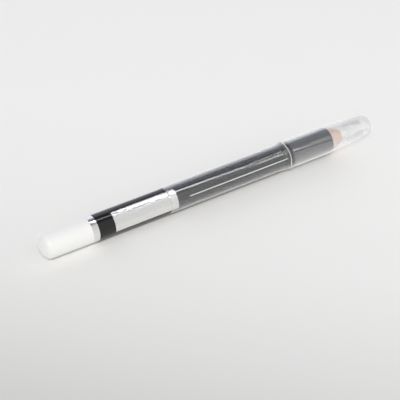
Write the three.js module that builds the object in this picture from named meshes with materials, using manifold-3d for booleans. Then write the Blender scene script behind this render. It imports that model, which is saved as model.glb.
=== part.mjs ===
// A round kohl pencil lying along +X: two cedar slats glued round a thick soft core, lacquered black and
// dipped white at the rear, with a silver band, a bare silver label, a clear cap and a clear shrunk sleeve.
// Millimetres, +Z up. The origin is under the middle of the pencil, on the surface that it lies on.
import * as THREE from "three";
import { mergeVertices } from "three/addons/utils/BufferGeometryUtils.js";
import Module from "manifold-3d";

const wasm = await Module();
wasm.setup();

// Barrel and core, with lengths from the tip of the white rear end
const barrelDiameter = 8.0;
const barrelLength = 102.1; // to the edge where the sharpener's cut begins
const sharpenedHalfAngle = THREE.MathUtils.degToRad(22);
const coreDiameter = 3.7;
const coreTipRadius = 0.8;
const lacquerThickness = 0.12;
const glueLine = 0.06; // between the slats, and between them and the core

// White dipped end
const dipLength = 16.6;
const dipEndThickness = 0.4;
const domeHeight = 2.4;

// Silver foil
const foilThickness = 0.04;
const bandWidth = 2.0;
const labelOffset = 6.3; // from the white dip's front edge to the label
const labelLength = 21.6;
const labelTop = THREE.MathUtils.degToRad(8.4); // from the top of the barrel round to the label's upper edge
const labelSweep = THREE.MathUtils.degToRad(95.7);

// Clear cap
const capOverlap = 16.6; // how far it reaches back over the barrel
const capFit = 0.08; // radial clearance round the barrel
const capSeatGap = 0.03; // radial clearance left where the tapered bore stops the barrel's edge
const capWall = 0.35;
const capRimWidth = 1.2;
const capRimProud = 0.2;
const capEndDiameter = 6.7; // where the taper meets the rounded end
const capEndRounding = 2.6; // length of the rounded end
const capEndLand = 3.2; // diameter of the flat on the closed end
const capEndWall = 3.8;
const capInnerFillet = 0.3;
const tipRoom = 4.6; // free length inside the cap, ahead of the core's tip

// Clear shrunk sleeve
const filmStart = 42.0;
const filmThickness = 0.06;
const filmFlareLength = 2.2;
const filmFlare = 0.3;
const tearGap = 0.3; // opening along the tear line at the cap's mouth
const filmEndTurn = THREE.MathUtils.degToRad(50); // how far it is shrunk round the cap's end

// Air between a coat or foil and what it covers
const layerGap = 0.02;

// Every round piece has the same facets, with a flat underneath
const facets = 32;
const facetAngle = (2 * Math.PI) / facets;
const arcSteps = 8;

const barrelRadius = barrelDiameter / 2;
const woodRadius = barrelRadius - lacquerThickness - layerGap;
const coreRadius = coreDiameter / 2;
const grooveRadius = coreRadius + glueLine;
const foilRadius = barrelRadius + layerGap;
const filmRadius = foilRadius + foilThickness + layerGap;

// The sharpener's cone, which cuts the lacquer, the wood and the core alike
const coneSlope = Math.tan(sharpenedHalfAngle);
const coneStation = (radius) => barrelLength + (barrelRadius - radius) / coneSlope;
const tipCentre = coneStation(0) - coreTipRadius / Math.sin(sharpenedHalfAngle);
const tipStation = tipCentre + coreTipRadius;

// The cap, measured from its own mouth
const capMouth = barrelLength - capOverlap;
const capBore = barrelRadius + capFit;
const capRadius = capBore + capWall;
const capRimRadius = capRadius + capRimProud;
const capInnerEnd = tipStation + tipRoom - capMouth;
const capEnd = capInnerEnd + capEndWall;
const capShoulder = capEnd - capEndRounding;
const capEndRadius = capEndDiameter / 2;
const capLandRadius = capEndLand / 2;
const capDrop = capRadius - capEndRadius;
const seatShare = (capFit - capSeatGap) / capDrop; // share of the taper that lies over the barrel
const taperStart = (capOverlap - seatShare * capShoulder) / (1 - seatShare);
const capOuterAt = (v) => capRadius - (capDrop * (v - taperStart)) / (capShoulder - taperStart);

const overallLength = capMouth + capEnd;
const axisHeight = capRimRadius * Math.cos(facetAngle / 2);

// Points of an elliptical arc in [radius, station] form
function arc(centreRadius, centreStation, radialSize, axialSize, from, to) {
  const curve = new THREE.EllipseCurve(
    centreRadius, centreStation, radialSize, axialSize, from, to, to < from);
  return curve.getPoints(arcSteps).map((p) => [p.x, p.y]);
}

// A solid of revolution about the pencil's axis
function revolve(profile) {
  const points = profile.map(([radius, station]) => new THREE.Vector2(Math.max(radius, 0), station));
  return new THREE.LatheGeometry(points, facets, facetAngle / 2);
}

// A revolved wall, whose outline closes on itself
function revolveWall(outer, inner) {
  return revolve([...outer, ...inner, outer[0]]);
}

function solidOf(geometry) {
  const bare = geometry.clone();
  bare.deleteAttribute("normal");
  bare.deleteAttribute("uv");
  const merged = mergeVertices(bare);
  const vertProperties = merged.attributes.position.array;
  const triVerts = new Uint32Array(merged.index.array);
  return new wasm.Manifold(new wasm.Mesh({ numProp: 3, vertProperties, triVerts }));
}

function geometryOf(solid) {
  const mesh = solid.getMesh();
  const geometry = new THREE.BufferGeometry();
  geometry.setAttribute("position", new THREE.BufferAttribute(mesh.vertProperties, 3));
  geometry.setIndex(new THREE.BufferAttribute(mesh.triVerts, 1));
  geometry.computeVertexNormals();
  return geometry;
}

// The core: a rod with a flat rear end, sharpened to a rounded point
function coreGeometry() {
  const domeShare = Math.sqrt(1 - (grooveRadius / woodRadius) ** 2);
  const rear = domeHeight - (domeHeight - dipEndThickness - layerGap) * domeShare;
  return revolve([
    [0, rear],
    [coreRadius, rear],
    [coreRadius, coneStation(coreRadius)],
    ...arc(0, tipCentre, coreTipRadius, coreTipRadius, sharpenedHalfAngle, Math.PI / 2),
  ]);
}

// One half of the wooden casing: rounded rear end, sharpened front end and half of the core's groove
function slatGeometry(side) {
  const casing = revolve([
    ...arc(0, domeHeight, woodRadius, domeHeight - dipEndThickness - layerGap, -Math.PI / 2, 0),
    [woodRadius, coneStation(woodRadius)],
    [0, coneStation(0)],
  ]);
  const groove = new THREE.CylinderGeometry(
    grooveRadius, grooveRadius, 2 * overallLength, facets, 1, false, facetAngle / 2);
  const half = new THREE.BoxGeometry(barrelDiameter, 2 * overallLength, barrelDiameter);
  half.translate(0, 0, (side * (barrelDiameter + glueLine)) / 2);
  return geometryOf(solidOf(casing).subtract(solidOf(groove)).intersect(solidOf(half)));
}

// Black lacquer: a sleeve from the white dip to the edge that the sharpener left
function lacquerGeometry() {
  const inside = woodRadius + layerGap;
  return revolveWall(
    [[inside, dipLength + layerGap], [barrelRadius, dipLength + layerGap], [barrelRadius, barrelLength]],
    [[inside, coneStation(inside)]],
  );
}

// White dip: a cup over the rounded rear end
function dipGeometry() {
  const inside = woodRadius + layerGap;
  return revolve([
    ...arc(0, domeHeight, barrelRadius, domeHeight, -Math.PI / 2, 0),
    [barrelRadius, dipLength],
    [inside, dipLength],
    ...arc(0, domeHeight, inside, domeHeight - dipEndThickness, 0, -Math.PI / 2),
  ]);
}

// A ring of foil on the barrel's surface
function foilRing(start, length) {
  const outside = foilRadius + foilThickness;
  return revolveWall(
    [[foilRadius, start], [outside, start], [outside, start + length]],
    [[foilRadius, start + length]],
  );
}

// The label: the part of a foil ring that lies inside a wedge from the pencil's axis
function labelGeometry() {
  const reach = barrelDiameter;
  const angles = [0, 0.5, 1].map((share) => labelTop + share * labelSweep);
  const outline = new THREE.Shape([
    new THREE.Vector2(0, 0),
    ...angles.map((a) => new THREE.Vector2(reach * Math.sin(a), -reach * Math.cos(a))),
  ]);
  const wedge = new THREE.ExtrudeGeometry(outline, { depth: overallLength, bevelEnabled: false });
  wedge.rotateX(-Math.PI / 2);
  return geometryOf(solidOf(foilRing(dipLength + labelOffset, labelLength)).intersect(solidOf(wedge)));
}

// Sleeve on the barrel: close on the lacquer, flared where it was stretched up to the cap's mouth
function barrelFilmGeometry() {
  const end = capMouth - tearGap;
  const line = [
    [filmRadius, filmStart],
    [filmRadius, end - filmFlareLength],
    [filmRadius + filmFlare, end],
  ];
  return revolveWall(
    line.map(([radius, station]) => [radius + filmThickness, station]),
    line.reverse(),
  );
}

// Cap: rounded rim, straight then tapered wall that seats on the barrel's edge, thick rounded closed end
function capGeometry() {
  const half = capRimWidth / 2;
  const innerEndRadius = capOuterAt(capInnerEnd) - capWall;
  return revolve([
    [0, capInnerEnd],
    ...arc(innerEndRadius - capInnerFillet, capInnerEnd - capInnerFillet, capInnerFillet, capInnerFillet,
      Math.PI / 2, 0),
    [capBore, taperStart],
    [capBore, half],
    ...arc(capBore + capRimProud, half, capRimProud, half, Math.PI, 1.5 * Math.PI).slice(1),
    ...arc(capRadius, half, capRimProud, half, -Math.PI / 2, Math.PI / 2),
    [capRadius, taperStart],
    ...arc(capLandRadius, capShoulder, capEndRadius - capLandRadius, capEndRounding, 0, Math.PI / 2),
    [0, capEnd],
  ]);
}

// Sleeve on the cap: from the rim forwards, shrunk in round the closed end
function capFilmGeometry() {
  const skin = (gap) => [
    [capRadius + gap, capRimWidth + tearGap],
    [capRadius + gap, taperStart],
    ...arc(capLandRadius, capShoulder, capEndRadius - capLandRadius + gap, capEndRounding + gap,
      0, filmEndTurn),
  ];
  return revolveWall(skin(layerGap + filmThickness), skin(layerGap).reverse());
}

function piece(name, geometry, finish) {
  const mesh = new THREE.Mesh(geometry, new THREE.MeshStandardMaterial(finish));
  mesh.name = name;
  return mesh;
}

const kohl = { color: 0xf4f2ec, roughness: 0.55, metalness: 0 };
const cedar = { color: 0xd0a688, roughness: 0.7, metalness: 0 };
const blackLacquer = { color: 0x0d0d0f, roughness: 0.12, metalness: 0 };
const whiteDip = { color: 0xf3f3f1, roughness: 0.35, metalness: 0 };
const silverFoil = { color: 0xc9c9cb, roughness: 0.2, metalness: 1 };
const clearPlastic = { color: 0xf2f4f5, roughness: 0.05, metalness: 0, transparent: true, opacity: 0.25 };
const clearFilm = { color: 0xf6f7f8, roughness: 0.1, metalness: 0, transparent: true, opacity: 0.15 };

const barrel = new THREE.Group();
barrel.add(
  piece("kohl_core", coreGeometry(), kohl),
  piece("upper_slat", slatGeometry(1), cedar),
  piece("lower_slat", slatGeometry(-1), cedar),
  piece("barrel_lacquer", lacquerGeometry(), blackLacquer),
  piece("end_dip", dipGeometry(), whiteDip),
  piece("silver_band", foilRing(dipLength - bandWidth / 2, bandWidth), silverFoil),
  piece("silver_label", labelGeometry(), silverFoil),
  piece("barrel_film", barrelFilmGeometry(), clearFilm),
);

const cappedEnd = new THREE.Group();
cappedEnd.add(piece("cap", capGeometry(), clearPlastic), piece("cap_film", capFilmGeometry(), clearFilm));
cappedEnd.position.y = capMouth;

// Lay the revolved pieces down, so that their axis runs along +X
const pencil = new THREE.Group();
pencil.add(barrel, cappedEnd);
pencil.rotation.z = -Math.PI / 2;
pencil.position.set(-overallLength / 2, 0, axisHeight);

const part = new THREE.Group();
part.add(pencil);

export default part;
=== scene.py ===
# Kohl pencil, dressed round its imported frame: the white core, the cedar casing, the black lacquer, the white
# dip, the silver foil, the printed line, the clear sleeve and the clear cap, then the table and the light.
import math

import bpy
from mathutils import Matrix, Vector, noise


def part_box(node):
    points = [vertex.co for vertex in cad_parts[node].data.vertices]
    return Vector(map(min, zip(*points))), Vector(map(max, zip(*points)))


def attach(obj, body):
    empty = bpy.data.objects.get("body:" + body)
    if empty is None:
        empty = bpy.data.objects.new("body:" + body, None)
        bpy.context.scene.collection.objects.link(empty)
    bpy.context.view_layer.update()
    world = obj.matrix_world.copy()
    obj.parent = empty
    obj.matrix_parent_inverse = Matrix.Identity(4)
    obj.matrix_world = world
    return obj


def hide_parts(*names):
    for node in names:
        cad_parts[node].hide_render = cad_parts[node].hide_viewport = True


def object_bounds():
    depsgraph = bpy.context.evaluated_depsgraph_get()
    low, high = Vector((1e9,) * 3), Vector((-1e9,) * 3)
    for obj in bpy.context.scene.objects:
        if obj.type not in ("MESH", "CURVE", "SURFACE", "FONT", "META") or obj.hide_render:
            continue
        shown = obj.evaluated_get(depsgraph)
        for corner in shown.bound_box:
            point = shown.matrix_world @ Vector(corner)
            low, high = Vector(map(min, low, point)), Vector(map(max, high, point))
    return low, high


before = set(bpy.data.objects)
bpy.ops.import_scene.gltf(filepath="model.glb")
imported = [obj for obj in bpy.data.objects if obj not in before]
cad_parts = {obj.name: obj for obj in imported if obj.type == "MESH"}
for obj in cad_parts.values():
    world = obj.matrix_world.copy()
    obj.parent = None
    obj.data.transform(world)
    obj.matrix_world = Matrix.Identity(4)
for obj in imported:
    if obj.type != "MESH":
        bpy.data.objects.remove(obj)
cad_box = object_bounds()


# Camera
# The pencil lies across the view from lower left to upper right, seen from above its white end through a
# long lens.
camera_aim = Vector((-0.0082, -0.0050, 0.00445))
camera_azimuth = math.radians(-32.2)
camera_elevation = math.radians(37.72)
camera_distance = 0.3932

camera_back = Vector((
    math.sin(camera_azimuth) * math.cos(camera_elevation),
    -math.cos(camera_azimuth) * math.cos(camera_elevation),
    math.sin(camera_elevation),
))
bpy.ops.object.select_all(action="DESELECT")
bpy.ops.object.camera_add(location=camera_aim + camera_back * camera_distance)
camera = bpy.context.object
camera.rotation_euler = camera_back.to_track_quat("Z", "Y").to_euler()
camera.data.lens = 117
camera.data.sensor_width = 36
camera.data.clip_start = 0.01
bpy.context.scene.camera = camera
bpy.context.scene.view_settings.view_transform = "Standard"


# Kohl core
# A soft white wax rod, extruded to size and glued between the two halves of the casing. Only its sharpened
# point shows, a little blunted and lined by the sharpener's blade.
mm = 0.001
core_low, core_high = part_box("kohl_core")
axis_z = (core_low.z + core_high.z) / 2
core_radius = (core_high.z - core_low.z) / 2
sharpened_angle = math.radians(22)
tip_radius = 0.8 * mm
tip_centre = core_high.x - tip_radius
tip_tangent = tip_centre + tip_radius * math.sin(sharpened_angle)


def cone_station(radius):
    """Where the sharpener's cone has this radius."""
    return tip_tangent + (tip_radius * math.cos(sharpened_angle) - radius) / math.tan(sharpened_angle)


def rounded(centre, size, start, end, steps):
    """Outline points of a rounded part, where 0 degrees points forwards and 90 outwards."""
    angles = [math.radians(start + (end - start) * n / steps) for n in range(steps + 1)]
    return [(centre[0] + size[0] * math.cos(a), centre[1] + size[1] * math.sin(a)) for a in angles]


def turned(name, outline, steps=128, start=0, sweep=360, crease=18):
    """A piece drawn as a half outline of (station, radius) points and spun round the pencil's axis."""
    outwards = Vector((0, -math.sin(math.radians(start)), math.cos(math.radians(start))))
    points = [Vector((x, 0, axis_z)) + outwards * radius for x, radius in outline]
    bpy.ops.object.select_all(action="DESELECT")
    bpy.ops.mesh.primitive_plane_add(size=mm)
    piece = bpy.context.object
    piece.name = name
    bpy.ops.object.mode_set(mode="EDIT")
    bpy.ops.mesh.select_all(action="SELECT")
    bpy.ops.mesh.merge(type="CENTER")
    bpy.ops.transform.translate(value=points[0])
    for here, there in zip(points, points[1:]):
        bpy.ops.mesh.extrude_region_move(TRANSFORM_OT_translate={"value": there - here})
    bpy.ops.mesh.select_all(action="SELECT")
    bpy.ops.mesh.remove_doubles(threshold=0.0005 * mm)
    bpy.ops.mesh.spin(steps=steps, angle=-math.radians(sweep), center=(0, 0, axis_z), axis=(1, 0, 0))
    bpy.ops.mesh.select_all(action="SELECT")
    bpy.ops.mesh.remove_doubles(threshold=0.0005 * mm)
    bpy.ops.mesh.fill_holes(sides=0)
    bpy.ops.mesh.select_all(action="SELECT")
    bpy.ops.mesh.normals_make_consistent(inside=False)
    bpy.ops.object.mode_set(mode="OBJECT")
    bpy.ops.object.shade_smooth_by_angle(angle=math.radians(crease))
    return piece


def tone(red, green, blue):
    """A colour given as it looks on a screen, from 0 to 255, as the shader's own linear colour."""
    steps = [value / 255 for value in (red, green, blue)]
    return [s / 12.92 if s < 0.04045 else ((s + 0.055) / 1.055) ** 2.4 for s in steps] + [1]


def node(tree, kind, settings=None, **values):
    """A node with its choices set, and its named inputs either set or joined to another node's output."""
    made = tree.nodes.new(kind)
    for name, value in (settings or {}).items():
        setattr(made, name, value)
    for name, value in values.items():
        socket = made.inputs[int(name[1:])] if name[1:].isdigit() else made.inputs[name.replace("_", " ")]
        if isinstance(value, bpy.types.NodeSocket):
            tree.links.new(value, socket)
        else:
            socket.default_value = value
    return made


def maths(tree, operation, *values):
    """The result of one sum, on numbers or on other nodes' outputs."""
    named = {f"_{n}": value for n, value in enumerate(values)}
    return node(tree, "ShaderNodeMath", {"operation": operation}, **named).outputs[0]


def span(tree, value, start, end, to_start=0.0, to_end=1.0, eased=False):
    """A value carried over from one range to another and held at its ends."""
    settings = {"interpolation_type": "SMOOTHSTEP" if eased else "LINEAR"}
    return node(tree, "ShaderNodeMapRange", settings, Value=value, From_Min=start, From_Max=end,
                To_Min=to_start, To_Max=to_end).outputs["Result"]


def object_place(tree):
    """A point on the piece in the pencil's own frame, whole and as its three coordinates."""
    place = node(tree, "ShaderNodeTexCoord").outputs["Object"]
    return place, node(tree, "ShaderNodeSeparateXYZ", Vector=place).outputs


def effect(name, inputs, outputs):
    """An empty node group with named number or vector inputs and named number outputs."""
    tree = bpy.data.node_groups.new(name, "ShaderNodeTree")
    for label, value in inputs.items():
        kind = "NodeSocketVector" if isinstance(value, tuple) else "NodeSocketFloat"
        tree.interface.new_socket(label, in_out="INPUT", socket_type=kind).default_value = value
    for label in outputs:
        tree.interface.new_socket(label, in_out="OUTPUT", socket_type="NodeSocketFloat")
    return tree, tree.nodes.new("NodeGroupInput"), tree.nodes.new("NodeGroupOutput")


def stretched(tree, given, scale, detail, falloff=0.5):
    """Noise on the piece, stretched by the grain that an effect is given."""
    place = node(tree, "ShaderNodeTexCoord")
    grain = node(tree, "ShaderNodeVectorMath", {"operation": "MULTIPLY"},
                 _0=place.outputs["Object"], _1=given.outputs["Grain"])
    return node(tree, "ShaderNodeTexNoise", Vector=grain.outputs["Vector"], Scale=scale, Detail=detail,
                Roughness=falloff).outputs[0]


def surface(name, smooth, rough, detail, falloff=0.5, buckled=False):
    """An effect of stretched noise, as a height and as a share between two roughnesses. On a buckled surface
    fine noise lies on a wider swell."""
    tree, given, result = effect(name, {"Grain": (1.0, 1.0, 1.0), "Smooth": smooth, "Rough": rough},
                                 ("Roughness", "Height"))
    fine = stretched(tree, given, 5.0 if buckled else 1.0, detail, falloff)
    height = maths(tree, "MULTIPLY_ADD", fine, 0.05, stretched(tree, given, 1.0, 1.0)) if buckled else fine
    share = span(tree, fine, 0.3, 0.7, given.outputs["Smooth"], given.outputs["Rough"])
    tree.links.new(share, result.inputs["Roughness"])
    tree.links.new(height, result.inputs["Height"])
    return tree


def use(tree, group, **values):
    """One effect placed in a material with its own values."""
    placed = tree.nodes.new("ShaderNodeGroup")
    placed.node_tree = group
    for name, value in values.items():
        placed.inputs[name].default_value = value
    return placed.outputs


def roughen(tree, shader, group, grain, smooth, rough):
    """A surface effect joined to the material's roughness. Gives its height."""
    placed = use(tree, group, Grain=grain, Smooth=smooth, Rough=rough)
    tree.links.new(placed["Roughness"], shader.inputs["Roughness"])
    return placed["Height"]


def finish(name, piece, colour, roughness, ior=1.5):
    """A new material on the piece, with its plain values on the shader."""
    material = bpy.data.materials.new(name)
    material.use_nodes = True
    shader = material.node_tree.nodes["Principled BSDF"]
    shader.inputs["Base Color"].default_value = colour
    shader.inputs["Roughness"].default_value = roughness
    shader.inputs["IOR"].default_value = ior
    piece.data.materials.clear()
    piece.data.materials.append(material)
    return material.node_tree, shader


def relief(tree, shader, height, depth, strength):
    """Fine relief of this depth on the surface."""
    bump = node(tree, "ShaderNodeBump", Strength=strength, Distance=depth, Height=height)
    tree.links.new(bump.outputs["Normal"], shader.inputs["Normal"])


# Fine unevenness that every coated or moulded surface has
uneven = surface("fine_unevenness", 0.2, 0.3, 4.0, 0.55)

# Lines that the sharpener's blade leaves round the cone, on wood and core alike
blade, blade_in, blade_out = effect("blade_lines", {"Spacing": 0.0002}, ("Height",))
blade_place, blade_axes = object_place(blade)
blade_noise = node(blade, "ShaderNodeTexNoise", Vector=blade_place, Scale=900.0, Detail=2.0)
blade_turns = maths(blade, "DIVIDE", blade_axes["X"], blade_in.outputs["Spacing"])
blade_waver = maths(blade, "MULTIPLY_ADD", blade_noise.outputs[0], 2.4, blade_turns)
blade.links.new(maths(blade, "PINGPONG", blade_waver, 0.5), blade_out.inputs["Height"])

core = turned("kohl_core_rod", [
    (core_low.x, 0),
    (core_low.x, core_radius),
    (cone_station(core_radius), core_radius),
] + rounded((tip_centre, 0), (tip_radius, tip_radius), 68, 0, 12), crease=15)
core_tree, core_shader = finish("white_kohl", core, tone(243, 241, 236), 0.5)
core_wax = roughen(core_tree, core_shader, uneven, (1800.0, 1800.0, 1800.0), 0.42, 0.62)
core_lines = use(core_tree, blade, Spacing=0.00022)["Height"]
core_height = maths(core_tree, "MULTIPLY_ADD", core_wax, 0.5, core_lines)
relief(core_tree, core_shader, core_height, 0.000012, 0.6)
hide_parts("kohl_core")
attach(core, "pencil")


# Cedar casing
# Two milled half rounds of soft cedar with a groove for the core, glued together round it. They are rounded
# at the rear, and the sharpener has cut their front into the tan cone.
slat_low, slat_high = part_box("upper_slat")
casing_radius = slat_high.z - axis_z
glue_line = 0.06 * mm
groove_radius = core_radius + glue_line
dip_dome = 2.4 * mm
wood_dome = 2.0 * mm
dome_front = cad_box[0][0] + dip_dome
casing_rear = rounded((dome_front, 0), (wood_dome, casing_radius), 180, 90, 24)
casing_outline = [(x, r) for x, r in casing_rear if r > groove_radius] + [
    (cone_station(casing_radius), casing_radius),
    (cone_station(groove_radius), groove_radius),
]
groove_rear = casing_outline[0][0]
casing_outline = [(groove_rear, groove_radius)] + casing_outline + [(groove_rear, groove_radius)]


def cut_plane(piece, height, side):
    """Cuts a piece level at this height, keeps the part above it or below it, and closes the cut."""
    bpy.ops.object.select_all(action="DESELECT")
    piece.select_set(True)
    bpy.context.view_layer.objects.active = piece
    bpy.ops.object.mode_set(mode="EDIT")
    bpy.ops.mesh.select_all(action="SELECT")
    bpy.ops.mesh.bisect(plane_co=(0, 0, height), plane_no=(0, 0, side), use_fill=True, clear_inner=True,
                        threshold=0.0001 * mm)
    bpy.ops.object.mode_set(mode="OBJECT")


def blend(tree, share, stops):
    """Colours blended along a share from 0 to 1, each given with its place."""
    made = node(tree, "ShaderNodeValToRGB", Fac=share)
    for place, colour in stops[1:-1]:
        made.color_ramp.elements.new(place)
    for stop, (place, colour) in zip(made.color_ramp.elements, stops):
        stop.position = place
        stop.color = colour
    return made.outputs["Color"]


for slat_name, side in (("upper_slat", 1), ("lower_slat", -1)):
    slat = turned(slat_name + "_half", casing_outline, crease=15)
    cut_plane(slat, axis_z + side * glue_line / 2, side)
    wood, wood_shader = finish("cedar_" + slat_name, slat, tone(216, 180, 152), 0.65)
    wood_turn = node(wood, "ShaderNodeMapping", Vector=object_place(wood)[0],
                     Location=(0.0, 0.004 * side, 0.0), Rotation=(0.5 * side, 0.0, 0.02),
                     Scale=(90.0, 900.0, 900.0)).outputs["Vector"]
    wood_fibres = node(wood, "ShaderNodeTexNoise", Vector=wood_turn, Scale=2.6, Detail=6.0, Roughness=0.6)
    wood_rings = node(wood, "ShaderNodeTexWave", {"bands_direction": "Z"}, Vector=wood_turn, Scale=0.28,
                      Distortion=2.5, Detail=2.0)
    wood_mix = maths(wood, "MULTIPLY_ADD", wood_rings.outputs["Fac"], 0.35, wood_fibres.outputs[0])
    wood_colour = blend(wood, wood_mix, [(0.35, tone(206, 172, 150)), (0.85, tone(222, 196, 178))])
    wood.links.new(wood_colour, wood_shader.inputs["Base Color"])
    wood_pores = roughen(wood, wood_shader, uneven, (300.0, 2400.0, 2400.0), 0.55, 0.75)
    wood_lines = use(wood, blade, Spacing=0.0003)["Height"]
    relief(wood, wood_shader, maths(wood, "ADD", wood_lines, wood_pores), 0.00002, 0.7)
    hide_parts(slat_name)
    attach(slat, "pencil")


# Black lacquer
# Several coats of glossy black lacquer, drawn on by pushing the glued casing through rubber dies, which
# leaves faint lines along it. The sharpener has cut its front edge back to a thin bevel.
lacquer_low, lacquer_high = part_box("barrel_lacquer")
lacquer_thickness = 0.12 * mm
lacquer_round = 0.03 * mm
barrel_radius = (lacquer_high.z - lacquer_low.z) / 2
lacquer_inside = barrel_radius - lacquer_thickness
barrel_front = lacquer_high.x - lacquer_thickness / math.tan(sharpened_angle)
ragged_depth = 0.05 * mm
ragged_length = 0.7 * mm

lacquer = turned("black_lacquer_coat", [
    (lacquer_low.x, lacquer_inside),
    (lacquer_low.x, barrel_radius),
    (barrel_front - 0.2 * mm, barrel_radius),
] + rounded((barrel_front - lacquer_round, barrel_radius - lacquer_round), (lacquer_round, lacquer_round),
            90, 22, 4) + [
    (lacquer_high.x, lacquer_inside),
    (lacquer_low.x, lacquer_inside),
], steps=160)
for vertex in lacquer.data.vertices:
    if vertex.co.x > barrel_front - 0.1 * mm:
        vertex.co.x += ragged_depth * noise.noise(Vector((0, vertex.co.y, vertex.co.z)) / ragged_length)
black, black_shader = finish("black_lacquer", lacquer, (0.0065, 0.0066, 0.0072, 1), 0.12)
black_lines = roughen(black, black_shader, uneven, (60.0, 1500.0, 1500.0), 0.05, 0.13)
relief(black, black_shader, black_lines, 0.000004, 0.6)
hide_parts("barrel_lacquer")
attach(lacquer, "pencil")


# White dipped end
# The rear end dipped in white lacquer, which flowed out into a smooth satin coat over the rounded wood and
# closes off the core.
dip_low, dip_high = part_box("end_dip")
dip_outer = rounded((dome_front, 0), (dome_front - dip_low.x, barrel_radius), 180, 90, 32)
dip_inner = rounded((dome_front, 0), (wood_dome, lacquer_inside), 90, 180, 24)
dip = turned("white_dipped_end", dip_outer + [
    (dip_high.x - 0.1 * mm, barrel_radius),
    (dip_high.x, barrel_radius - 0.05 * mm),
    (dip_high.x, lacquer_inside),
] + dip_inner)
white, white_shader = finish("white_dip", dip, tone(233, 233, 231), 0.35)
white_flow = roughen(white, white_shader, uneven, (420.0, 420.0, 420.0), 0.42, 0.54)
relief(white, white_shader, white_flow, 0.000012, 0.5)
white_shader.inputs["Sheen Weight"].default_value = 0.6
white_shader.inputs["Sheen Roughness"].default_value = 0.6
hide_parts("end_dip")
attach(dip, "pencil")


# Silver foil
# A narrow ring over the joint of white and black, and a square-cornered patch with nothing on it. Both are
# thin hot-stamped foil, so they follow the coat beneath with small buckles.
band_low, band_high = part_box("silver_band")
label_low, label_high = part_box("silver_label")
foil_thickness = 0.04 * mm
foil_ease = 0.01 * mm
foil_outside = (band_high.z - band_low.z) / 2
foil_inside = foil_outside - foil_thickness
label_top = 8.4
label_sweep = 95.7

# Small buckles of foil, wide ones and fine ones
buckle = surface("foil_buckles", 0.1, 0.2, 3.0, buckled=True)


def foil_wall(start, end):
    """Outline of a foil wall in short steps, with its outer edges eased."""
    steps = max(8, round((end - start) / (0.25 * mm)))
    outer = [(start + (end - start) * n / steps, foil_outside) for n in range(steps + 1)]
    outer[0] = (start, foil_outside - foil_ease)
    outer[-1] = (end, foil_outside - foil_ease)
    return [(start, foil_inside)] + outer + [(end, foil_inside), (start, foil_inside)]


def angle_round(tree, axes):
    """The way round the pencil, from its top towards the label's side."""
    front = maths(tree, "MULTIPLY", axes["Y"], -1.0)
    up = maths(tree, "SUBTRACT", axes["Z"], axis_z)
    return maths(tree, "ARCTAN2", front, up)


band = turned("silver_ring", foil_wall(band_low.x, band_high.x), steps=160)
label = turned("silver_patch", foil_wall(label_low.x, label_high.x), steps=96, start=label_top,
               sweep=label_sweep)
ring, ring_shader = finish("silver_foil_ring", band, tone(240, 239, 237), 0.15)
ring_shader.inputs["Metallic"].default_value = 1
ring_buckles = roughen(ring, ring_shader, buckle, (700.0, 260.0, 260.0), 0.1, 0.2)
relief(ring, ring_shader, ring_buckles, 0.00005, 0.8)
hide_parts("silver_band")
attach(band, "pencil")

# The patch isn't rubbed down all over: along its upper edge it lies a little flatter than the barrel, up to a
# slanting line of small creases
crease_rear = math.radians(15)
crease_front = math.radians(31)
crease_waver = math.radians(10)
crease_blend = math.radians(1.2)
crease_reach = math.radians(3.0)
crease_height = 0.00009
flat_middle = math.radians(27)
flatness = 0.17
buckle_height = 0.000012
patch, patch_shader = finish("silver_foil_patch", label, tone(238, 237, 235), 0.25)
patch_shader.inputs["Metallic"].default_value = 1
patch_buckles = roughen(patch, patch_shader, buckle, (450.0, 420.0, 420.0), 0.2, 0.28)
patch_place, patch_axes = object_place(patch)
patch_angle = angle_round(patch, patch_axes)
patch_line = span(patch, patch_axes["X"], label_low.x, label_high.x, crease_rear, crease_front)
patch_ragged = maths(patch, "MULTIPLY_ADD", patch_buckles, crease_waver, patch_line)
patch_past = maths(patch, "SUBTRACT", patch_angle, patch_ragged)
patch_loose = span(patch, patch_past, -crease_blend, crease_blend, 1.0, 0.0)
patch_off = maths(patch, "SUBTRACT", patch_angle, flat_middle)
patch_flat = maths(patch, "MULTIPLY", maths(patch, "POWER", patch_off, 2.0), flatness * foil_outside)
patch_lift = maths(patch, "MULTIPLY", patch_flat, patch_loose)
patch_near = maths(patch, "ABSOLUTE", patch_past)
patch_ridge = span(patch, patch_near, 0.0, crease_reach, crease_height, 0.0, eased=True)
patch_grain = node(patch, "ShaderNodeTexNoise", Vector=patch_place, Scale=700.0, Detail=2.0)
patch_dashes = span(patch, patch_grain.outputs[0], 0.44, 0.56)
patch_crease = maths(patch, "MULTIPLY_ADD", patch_ridge, patch_dashes, patch_lift)
patch_height = maths(patch, "MULTIPLY_ADD", patch_buckles, buckle_height, patch_crease)
relief(patch, patch_shader, patch_height, 1.0, 0.9)
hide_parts("silver_label")
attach(label, "pencil")


# Printed line
# A plain thin line of opaque white ink, screen printed along the barrel under the clear sleeve.
line_start = cad_box[0][0] + 48.7 * mm
line_end = cad_box[0][0] + 84.8 * mm
line_height = 23.6
line_width = 3.6
ink_outside = barrel_radius + 0.012 * mm
ink_inside = barrel_radius + 0.002 * mm
ink_steps = 40
ink_stations = [line_start + (line_end - line_start) * n / ink_steps for n in range(ink_steps + 1)]
ink_outline = [(line_start, ink_inside)] + [(x, ink_outside) for x in ink_stations]
ink_outline += [(line_end, ink_inside), (line_start, ink_inside)]
line = turned("printed_line", ink_outline, steps=6, start=90 - line_height - line_width / 2, sweep=line_width)
ink, ink_shader = finish("white_ink", line, tone(226, 227, 226), 0.5)
ink_grain = roughen(ink, ink_shader, uneven, (2500.0, 2500.0, 2500.0), 0.4, 0.6)
ink_colour = blend(ink, ink_grain, [(0.3, tone(196, 198, 198)), (0.55, tone(234, 235, 234))])
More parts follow.
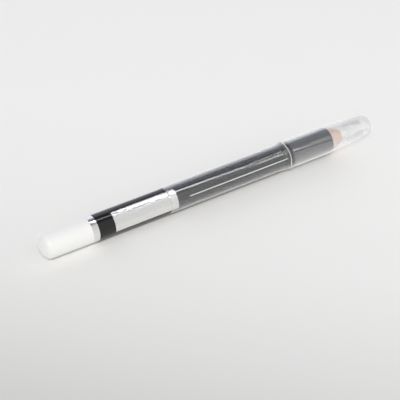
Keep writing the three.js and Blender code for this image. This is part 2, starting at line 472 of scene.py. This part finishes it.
ink.links.new(ink_colour, ink_shader.inputs["Base Color"])
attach(line, "pencil")


# Clear sleeve on the barrel
# Thin clear film, heat shrunk onto the front half of the barrel. Towards the cap it was stretched up over the
# step, so it flares there and stands in small lengthwise pleats.
film_low, film_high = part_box("barrel_film")
film_end_outside = (film_high.z - film_low.z) / 2
film_thickness = 0.06 * mm
film_flare = 0.3 * mm
film_outside = film_end_outside - film_flare
flare_start = film_high.x - 1.4 * mm
lip_width = 0.35 * mm
lip_height = 0.07 * mm
pleat_start = film_high.x - 16 * mm
pleat_count = 42
pleat_phase = math.radians(34.4)
pleat_height = 0.035 * mm
clear_colour = (0.997, 0.998, 0.999, 1)


def film_radius(x):
    """Outer radius of the sleeve: a thickened lip, then close on the barrel, then a flare up to the cap."""
    flare = min(max((x - flare_start) / (film_high.x - flare_start), 0), 1)
    lip = min(max((x - film_low.x) / lip_width, 0), 1)
    return film_outside + film_flare * math.sin(math.pi / 2 * flare) + lip_height * math.sin(math.pi * lip)


def film_pleat(x, around):
    """How far the pleats stand up, at this station and this way round."""
    growth = min(max((x - pleat_start) / (film_high.x - pleat_start), 0), 1) ** 0.6
    turn = pleat_count * (around + pleat_phase) + 0.8 * math.sin(5 * around + 40 * x)
    return growth * (pleat_height * (0.5 + 0.5 * math.cos(turn)) ** 2)


def raise_skin(piece, radius, height):
    """Lifts a thin skin of this radius outwards by a height that changes along it and round it."""
    for vertex in piece.data.vertices:
        around = math.atan2(vertex.co.y, vertex.co.z - axis_z)
        lift = 1 + height(vertex.co.x, around) / radius
        vertex.co.y *= lift
        vertex.co.z = axis_z + (vertex.co.z - axis_z) * lift


def clear(name, piece, clearness, veil, gloss, passing, faint=None):
    """A see-through finish that bends what is seen and lets the lamps' light straight through, less at a
    slant. Where it's given, the piece grows faint between two stations."""
    tree, shader = finish(name, piece, clear_colour, 0.05)
    shader.inputs["Transmission Weight"].default_value = clearness
    shader.inputs["Coat Weight"].default_value = gloss
    shader.inputs["Coat Roughness"].default_value = 0.015
    shader.inputs["Sheen Weight"].default_value = veil
    shader.inputs["Sheen Roughness"].default_value = 0.42
    ray = node(tree, "ShaderNodeLightPath").outputs
    straight = maths(tree, "MAXIMUM", ray["Is Shadow Ray"], ray["Is Diffuse Ray"])
    if faint:
        start, end, most = faint
        share = span(tree, object_place(tree)[1]["X"], start, end, 0.0, most)
        straight = maths(tree, "MAXIMUM", straight, share)
    slant = node(tree, "ShaderNodeLayerWeight", Blend=0.5)
    dimmed = span(tree, slant.outputs["Facing"], 0.65, 1.0, passing, passing - 0.3)
    through = node(tree, "ShaderNodeBsdfTransparent", Color=dimmed)
    mix = node(tree, "ShaderNodeMixShader", _0=straight, _1=shader.outputs[0], _2=through.outputs[0])
    tree.links.new(mix.outputs[0], tree.nodes["Material Output"].inputs["Surface"])
    return tree, shader


# Lines drawn into film as it shrinks, along the pencil
drawn = surface("film_lines", 0.0, 0.02, 3.0)

film_stations = [film_low.x + lip_width * n / 10 for n in range(11)]
film_stations += [film_low.x + step * mm for step in (0.4, 0.5, 1, 5, 10)] + [pleat_start]
film_stations += [pleat_start + (flare_start - pleat_start) * n / 40 for n in range(1, 41)]
film_stations += [flare_start + (film_high.x - flare_start) * n / 16 for n in range(1, 17)]
film_wall = [(x, film_radius(x)) for x in film_stations]
film_lining = [(x, min(r, film_radius(max(x, film_low.x + lip_width))) - film_thickness) for x, r in
               reversed(film_wall)]
film = turned("clear_sleeve", film_wall + film_lining + film_wall[:1], steps=420, crease=40)
raise_skin(film, film_outside, film_pleat)
sleeve, sleeve_shader = clear("clear_film", film, 1.0, 0.9, 0.45, 0.995)
sleeve_lines = use(sleeve, drawn, Grain=(10.0, 1250.0, 1250.0), Smooth=0.06, Rough=0.22)
sleeve_along = object_place(sleeve)[1]["X"]
sleeve_flare = span(sleeve, sleeve_along, flare_start, flare_start + 0.5 * mm, 0.0, 0.12)
sleeve_rough = maths(sleeve, "ADD", sleeve_lines["Roughness"], sleeve_flare)
sleeve.links.new(sleeve_rough, sleeve_shader.inputs["Roughness"])
relief(sleeve, sleeve_shader, sleeve_lines["Height"], 0.00004, 0.5)
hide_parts("barrel_film")
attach(film, "pencil")


# Clear cap
# One injection moulded piece of clear plastic: a rounded rim, a thin straight wall that pushes over the
# barrel, a taper that stops on the barrel's edge, and a thick blunt rounded end that shows only faintly.
cap_low, cap_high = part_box("cap")
rim_radius = (cap_high.z - cap_low.z) / 2
rim_proud = 0.2 * mm
rim_half = 0.6 * mm
mouth_round = 0.2 * mm
cap_radius = rim_radius - rim_proud
cap_wall = 0.35 * mm
cap_bore = cap_radius - cap_wall
taper_start = cad_box[0][0] + 101.4 * mm
end_round = 2.6 * mm
end_wall = 3.8 * mm
cap_shoulder = cap_high.x - end_round
shoulder_radius = 3.35 * mm
land_radius = 1.6 * mm
cap_inner_end = cap_high.x - end_wall
faint_start = cap_inner_end - 5 * mm


def cap_outside(x):
    """Radius of the cap's taper."""
    return cap_radius - (cap_radius - shoulder_radius) * (x - taper_start) / (cap_shoulder - taper_start)


inner_end_radius = cap_outside(cap_inner_end) - cap_wall
fillet = 0.3 * mm
rim_centre = cap_low.x + rim_half
cap_outline = [(cap_inner_end, 0)]
cap_outline += rounded((cap_inner_end - fillet, inner_end_radius - fillet), (fillet, fillet), 0, 90, 8)
cap_outline += [(taper_start, cap_bore), (rim_centre, cap_bore)]
cap_outline += rounded((rim_centre, cap_bore + mouth_round), (rim_half, mouth_round), 270, 180, 8)[1:]
cap_outline += rounded((rim_centre, cap_radius), (rim_half, rim_proud), 180, 0, 20)
cap_outline += [(taper_start, cap_radius)]
cap_outline += rounded((cap_shoulder, land_radius), (end_round, shoulder_radius - land_radius), 90, 0, 24)
cap_outline += [(cap_high.x, 0)]
cap = turned("clear_cap", cap_outline, steps=160, crease=30)
plastic, plastic_shader = clear("clear_plastic", cap, 1.0, 0.6, 0.0, 0.99, (faint_start, cap_inner_end, 0.85))
plastic_uneven = use(plastic, uneven, Grain=(120.0, 500.0, 500.0), Smooth=0.0, Rough=0.02)
plastic_along = object_place(plastic)[1]["X"]
plastic_end = span(plastic, plastic_along, faint_start, cap_inner_end, 0.0, 0.1)
plastic_rough = maths(plastic, "ADD", plastic_uneven["Roughness"], plastic_end)
plastic.links.new(plastic_rough, plastic_shader.inputs["Roughness"])
plastic_gloss = span(plastic, plastic_along, cap_low.x + 1.3 * mm, cap_low.x + 1.8 * mm, 0.45, 0.0)
plastic.links.new(plastic_gloss, plastic_shader.inputs["Coat Weight"])
relief(plastic, plastic_shader, plastic_uneven["Height"], 0.00001, 0.4)
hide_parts("cap")
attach(cap, "cap")

# The rim's edge, which the mould leaves matt, so that it shows as a pale line round the cap's mouth
edge_skin = 0.008 * mm
edge_gap = 0.001 * mm
edge_outer = rounded((rim_centre, cap_radius), (rim_half + edge_skin, rim_proud + edge_skin), 185, 128, 12)
edge_inner = rounded((rim_centre, cap_radius), (rim_half + edge_gap, rim_proud + edge_gap), 128, 185, 12)
rim_edge = turned("matt_rim_edge", edge_outer + edge_inner + edge_outer[:1], steps=160, crease=40)
frost, frost_shader = finish("matt_rim", rim_edge, tone(226, 226, 226), 0.5, 1.59)
frost_shader.inputs["Transmission Weight"].default_value = 0.35
frost_grain = roughen(frost, frost_shader, uneven, (3000.0, 1500.0, 1500.0), 0.4, 0.6)
relief(frost, frost_shader, frost_grain, 0.00001, 0.5)
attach(rim_edge, "cap")


# Clear sleeve on the cap
# The same film past its tear line at the cap's mouth: close on the wall, with one slanting crease, and shrunk
# in round the blunt end.
cap_film_low, cap_film_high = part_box("cap_film")
skin_inside = (cap_film_high.z - cap_film_low.z) / 2 - film_thickness - cap_radius
fold_angle = 45
fold_slant = 20
fold_width = 2.0
fold_height = 0.09 * mm
fold_fade = 2 * mm


def cap_skin(gap):
    """Outline of the film, this far off the cap."""
    rounded_end = rounded((cap_shoulder, land_radius), (end_round + gap, shoulder_radius - land_radius + gap),
                          90, 40, 16)
    straight = [cap_film_low.x + (taper_start - cap_film_low.x) * n / 12 for n in range(13)]
    taper = [taper_start + (cap_shoulder - taper_start) * n / 16 for n in range(1, 16)]
    return ([(x, cap_radius + gap) for x in straight] + [(x, cap_outside(x) + gap) for x in taper]
            + rounded_end)


def cap_fold(x, around):
    """How far the film stands up on both sides of its crease, which ends at the taper."""
    along = (x - cap_film_low.x) / (cap_high.x - cap_film_low.x)
    off = (math.degrees(around) + fold_angle + fold_slant * along) / fold_width
    fold = fold_height * (1 - math.exp(-off ** 2)) * math.exp(-(off / 3) ** 2)
    return fold * min(max((taper_start + fold_fade - x) / fold_fade, 0), 1)


skin_outer = cap_skin(skin_inside + film_thickness)
skin_inner = cap_skin(skin_inside)
cap_film = turned("clear_cap_sleeve", skin_outer + skin_inner[::-1] + skin_outer[:1], steps=480, crease=40)
raise_skin(cap_film, cap_radius, cap_fold)
cap_film_gloss = 0.7
cap_sleeve, cap_sleeve_shader = clear("clear_cap_film", cap_film, 0.975, 1.0, cap_film_gloss, 0.995,
                                      (faint_start, cap_inner_end, 0.8))
cap_sleeve_shader.inputs["Sheen Roughness"].default_value = 0.47
cap_sleeve_lines = use(cap_sleeve, drawn, Grain=(25.0, 1200.0, 1200.0))
cap_sleeve_axes = object_place(cap_sleeve)[1]
cap_sleeve_end = span(cap_sleeve, cap_sleeve_axes["X"], cap_inner_end - 6 * mm, cap_inner_end, 0.0, 0.12)
cap_sleeve_rough = maths(cap_sleeve, "ADD", cap_sleeve_lines["Roughness"], cap_sleeve_end)
cap_sleeve.links.new(cap_sleeve_rough, cap_sleeve_shader.inputs["Roughness"])
relief(cap_sleeve, cap_sleeve_shader, cap_sleeve_lines["Height"], 0.00003, 0.4)

# A thin dark line of painted shade along the crease, standing in for the dark reflection seen there. Along it
# the film's coat is also dropped where film and cap touch over the barrel, and the line stops past the
# barrel's front.
shade_line_rear = math.radians(48)
shade_line_front = math.radians(66)
shade_line_angle = angle_round(cap_sleeve, cap_sleeve_axes)
shade_line_path = span(cap_sleeve, cap_sleeve_axes["X"], cap_film_low.x, cap_high.x, shade_line_rear, shade_line_front)
shade_line_off = maths(cap_sleeve, "ABSOLUTE", maths(cap_sleeve, "SUBTRACT", shade_line_angle, shade_line_path))
shade_line_share = span(cap_sleeve, shade_line_off, math.radians(1.2), math.radians(4.0), eased=True)
shade_line_end = span(cap_sleeve, cap_sleeve_axes["X"], barrel_front - 0.5 * mm, barrel_front)
shade_line_part = maths(cap_sleeve, "MAXIMUM", shade_line_share, shade_line_end)
# Painted shade: the film's colour is darkened along the crease line
painted_shade_colour = blend(cap_sleeve, shade_line_part, [(0.0, (0.62, 0.62, 0.63, 1)), (1.0, clear_colour)])
shade_line_gloss = maths(cap_sleeve, "MULTIPLY", shade_line_part, cap_film_gloss)
cap_sleeve.links.new(painted_shade_colour, cap_sleeve_shader.inputs["Base Color"])
cap_sleeve.links.new(shade_line_gloss, cap_sleeve_shader.inputs["Coat Weight"])
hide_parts("cap_film")
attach(cap_film, "cap")


# Table
# A plain pale table top, very slightly turned so that the white end and the cap's rim both rest on it, as
# the real pencil does. Its colour has painted shade, a little darker towards its nearer left corner.
rest_rear = Vector((dome_front, 0, axis_z - barrel_radius))
rest_front = Vector((cap_low.x + rim_half, 0, axis_z - rim_radius))
table_tilt = math.atan2(rest_rear.z - rest_front.z, rest_front.x - rest_rear.x)
# Painted shade: the table's colour darkens along this way towards its nearer left corner
table_way = (0.703, 0.710, 0.0)
table_near = -0.1135
table_far = 0.015
table_shade_tones = [(0.0, 207), (0.2, 221), (0.36, 229), (0.5, 234), (0.72, 238), (1.0, 240)]
bpy.ops.object.select_all(action="DESELECT")
bpy.ops.mesh.primitive_plane_add(size=6, location=rest_front, rotation=(0, table_tilt, 0))
table = bpy.context.object
table.name = "table"
table_tree, table_shader = finish("table_top", table, tone(241, 241, 240), 0.6)
table_away = node(table_tree, "ShaderNodeVectorMath", {"operation": "DOT_PRODUCT"},
                  _0=object_place(table_tree)[0], _1=table_way)
table_shade_share = span(table_tree, table_away.outputs["Value"], table_near, table_far)
table_shade_stops = [(place, tone(level + 1, level + 1, level - 1)) for place, level in table_shade_tones]
table_tree.links.new(blend(table_tree, table_shade_share, table_shade_stops), table_shader.inputs["Base Color"])
roughen(table_tree, table_shader, uneven, (60.0, 60.0, 60.0), 0.55, 0.7)


# Light
# A soft room, bright in front and behind and darker overhead, where its right side is a little bluer. Two
# narrow lamps hang in line overhead to the right, and a soft box stands in front of the pencil and above it.
world = bpy.data.worlds.new("soft_room")
bpy.context.scene.world = world
world.use_nodes = True
room = world.node_tree
room_way = node(room, "ShaderNodeTexCoord")
room_side = node(room, "ShaderNodeSeparateXYZ", Vector=room_way.outputs["Generated"]).outputs
room_share = span(room, room_side["Y"], -1.0, 1.0)
room_right_tones = [(0.0, 0.8), (0.1, 0.75), (0.26, 0.7), (0.38, 0.25), (0.6, 0.2), (0.78, 0.22), (0.84, 0.9),
                    (1.0, 1.1)]
room_left_tones = [(0.0, 0.5), (0.3, 0.5), (0.45, 0.25), (0.7, 0.25), (0.82, 0.85), (1.0, 0.9)]


def room_colours(tones, tint):
    """The room's brightness from front to back, tinted blue past its front."""
    stops = []
    for place, level in tones:
        blue = tint if place > 0.3 else 0.01
        stops.append((place, (level * (1 - 0.75 * blue), level * (1 - 0.35 * blue), level * (1 + blue), 1)))
    return blend(room, room_share, stops)


room_turn = span(room, room_side["X"], -0.1, 0.25, eased=True)
room_mix = node(room, "ShaderNodeMix", {"data_type": "RGBA"}, _0=room_turn,
                _6=room_colours(room_left_tones, 0.02), _7=room_colours(room_right_tones, 0.1))
room.links.new(room_mix.outputs[2], room.nodes["Background"].inputs["Color"])
room.nodes["Background"].inputs["Strength"].default_value = 0.97

lamp_turn = math.radians(-64.4)
for lamp_name, lamp_place, lamp_length, lamp_power in (
    ("long_lamp", (0.485, -0.175, 1.0), 0.85, 1.1),
    ("far_lamp", (0.72, -0.66, 1.0), 0.62, 0.27),
):
    bpy.ops.object.select_all(action="DESELECT")
    bpy.ops.object.light_add(type="AREA", location=lamp_place, rotation=(0, 0, lamp_turn))
    lamp = bpy.context.object
    lamp.name = lamp_name
    lamp.data.shape = "RECTANGLE"
    lamp.data.size = lamp_length
    lamp.data.size_y = 0.08
    lamp.data.energy = lamp_power

bpy.ops.object.select_all(action="DESELECT")
key_way = Vector((-1.45, -2.26, 3.24))
bpy.ops.object.light_add(type="AREA", location=key_way, rotation=key_way.to_track_quat("Z", "Y").to_euler())
key = bpy.context.object
key.name = "soft_box"
key.data.shape = "SQUARE"
key.data.size = 1.4
key.data.energy = 116.0
key.data.color = (1.0, 0.985, 0.965)

bpy.context.scene.cycles.max_bounces = 24
bpy.context.scene.cycles.transmission_bounces = 24
bpy.context.scene.cycles.glossy_bounces = 8
bpy.context.scene.cycles.transparent_max_bounces = 32
